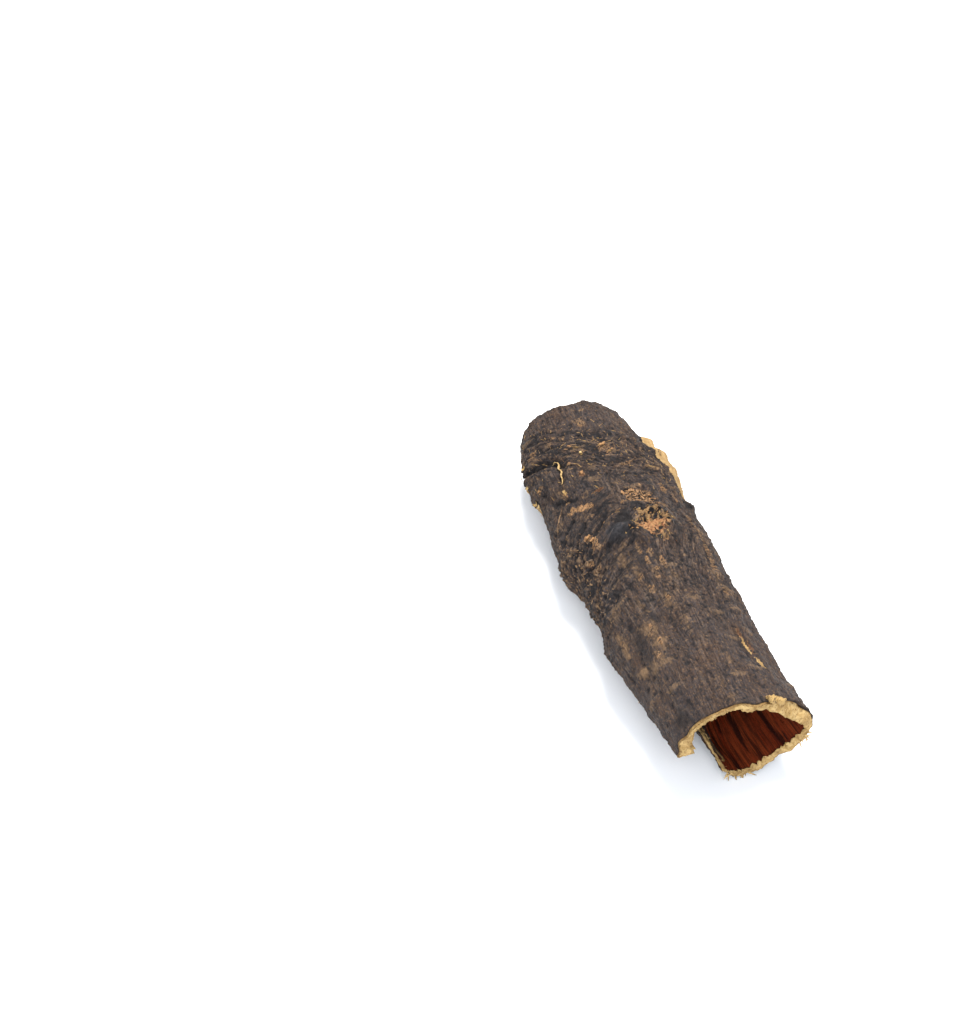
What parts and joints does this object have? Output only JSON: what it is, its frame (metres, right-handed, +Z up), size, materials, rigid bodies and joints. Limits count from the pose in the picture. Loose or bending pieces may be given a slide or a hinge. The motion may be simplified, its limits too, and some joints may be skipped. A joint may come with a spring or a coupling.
{
  "type": "silk tree bark quill",
  "caption": "Curled quill of dried branch bark: wrinkled dark cork with a branch scar outside, smooth red-brown bast inside, torn pale edges and an open side.",
  "frame": {"origin": "below the middle of the quill's bounding box, on the surface that it lies on", "axes": "+X along the quill to its wider broken end, +Y to the closed side, +Z up"},
  "size_m": [0.0936, 0.0324, 0.0209],
  "materials": {
    "bark": "dry dark grey-brown cork, with pale torn rims and a dark red-brown inside"
  },
  "bodies": {
    "root": {"bark_quill": "bark"}
  },
  "joints": []
}
